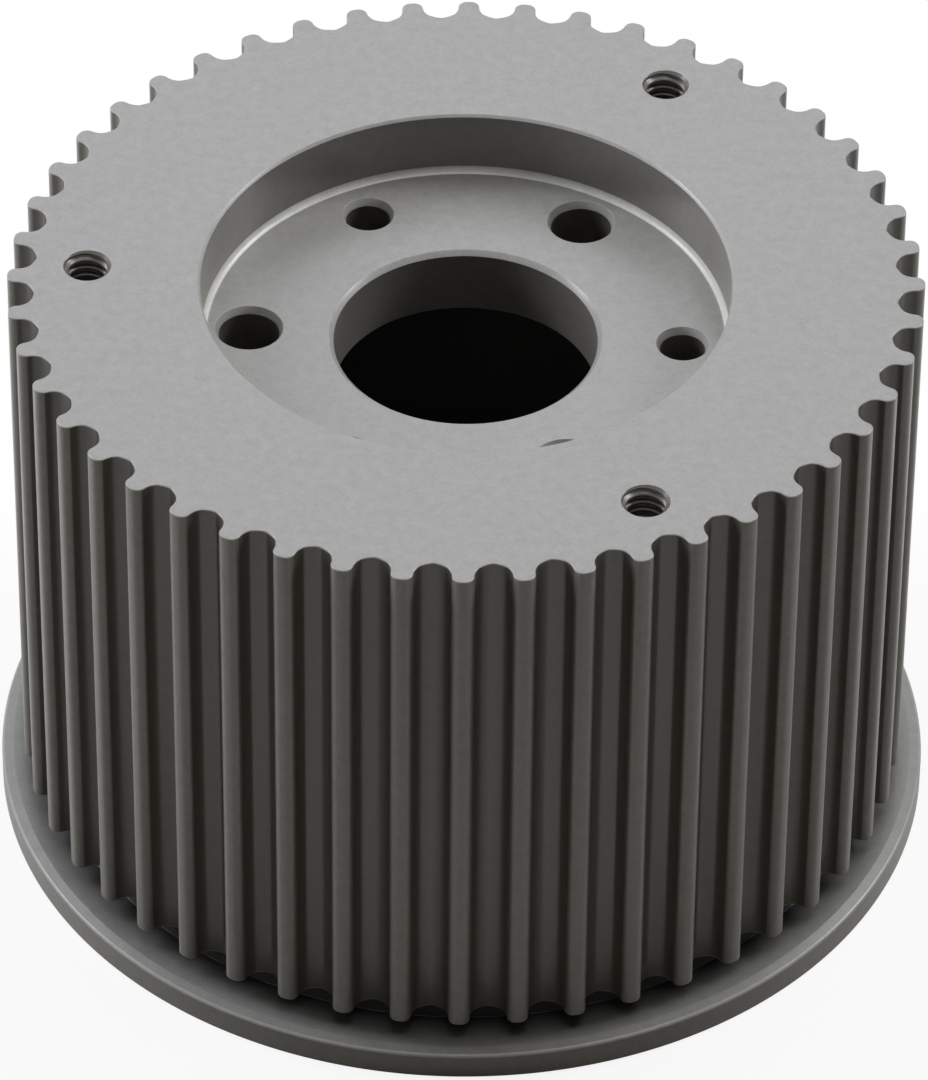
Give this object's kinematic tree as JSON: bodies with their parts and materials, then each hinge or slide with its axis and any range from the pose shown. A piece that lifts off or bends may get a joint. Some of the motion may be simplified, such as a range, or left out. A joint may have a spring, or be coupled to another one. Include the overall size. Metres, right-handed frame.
{
  "type": "toothed belt pulley",
  "caption": "Wide one-piece aluminium timing belt pulley with round-groove teeth, a fixed flange, a recessed web with a hub bore and screw holes, and tapped holes in its front face.",
  "frame": {"origin": "centre of the underside of the fixed flange, on the shaft axis", "axes": "+Z along the shaft axis, from the fixed flange to the recessed front face; +X through the middle of a tooth"},
  "size_m": [0.127, 0.127, 0.0848],
  "materials": {
    "anodised_aluminium": "matt bead-blasted, hard anodised grey"
  },
  "bodies": {
    "root": {"pulley": "anodised_aluminium"}
  },
  "joints": []
}
